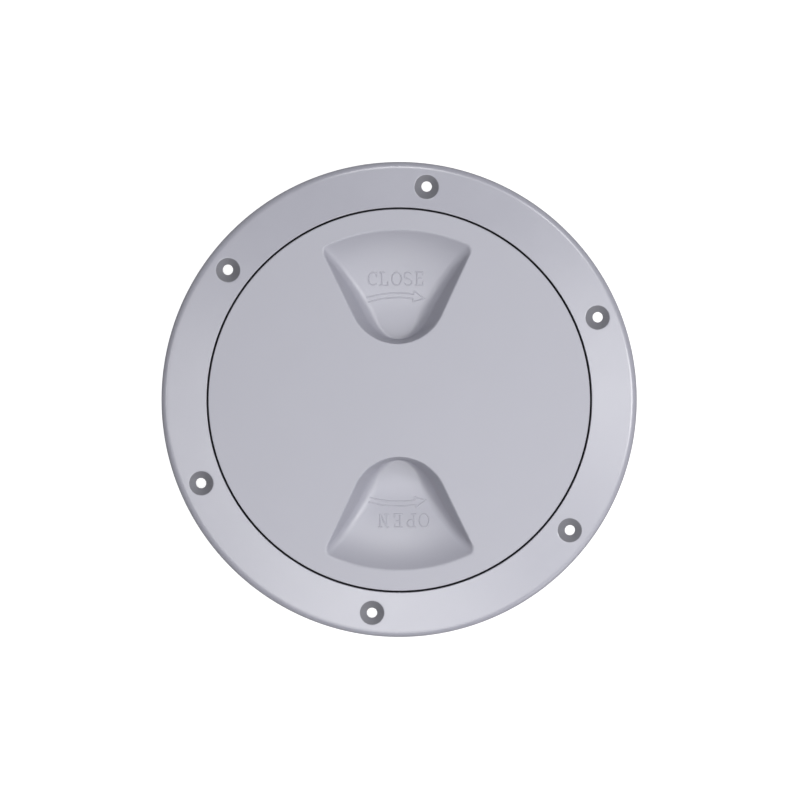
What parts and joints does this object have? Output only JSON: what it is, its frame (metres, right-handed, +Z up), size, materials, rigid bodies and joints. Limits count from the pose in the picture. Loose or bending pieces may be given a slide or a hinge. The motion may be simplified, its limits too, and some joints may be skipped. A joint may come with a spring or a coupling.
{
  "type": "screw-out deck inspection plate",
  "caption": "Round deck inspection plate: a screw-down moulded ring with countersunk holes and a threaded lid that is turned by finger pockets and seals on a rubber ring.",
  "frame": {"origin": "centre of the flange's underside, on the deck plane", "axes": "+Z up out of the deck along the lid's axis, +Y towards the finger pocket marked for closing, +X to its right seen from above"},
  "size_m": [0.205, 0.205, 0.0294],
  "materials": {
    "ring_plastic": "fine moulded grain",
    "lid_plastic": "smooth satin",
    "seal_rubber": "matte"
  },
  "bodies": {
    "ring": {"deck_ring": "ring_plastic"},
    "seal": {"rubber_seal": "seal_rubber"},
    "lid": {"lid": "lid_plastic"}
  },
  "joints": [
    {"name": "lid_lift", "type": "slide", "parent": "ring", "child": "seal", "axis": [0, 0, 1], "range_m": [0, 0.0241]},
    {"name": "lid_turn", "type": "hinge", "parent": "seal", "child": "lid", "pos_m": [0, 0, 0], "axis": [0, 0, 1], "range_deg": [0, 1440]}
  ],
  "couplings": [
    {"joint": "lid_lift", "follows": "lid_turn", "m_per_rad": 0.00095493}
  ]
}
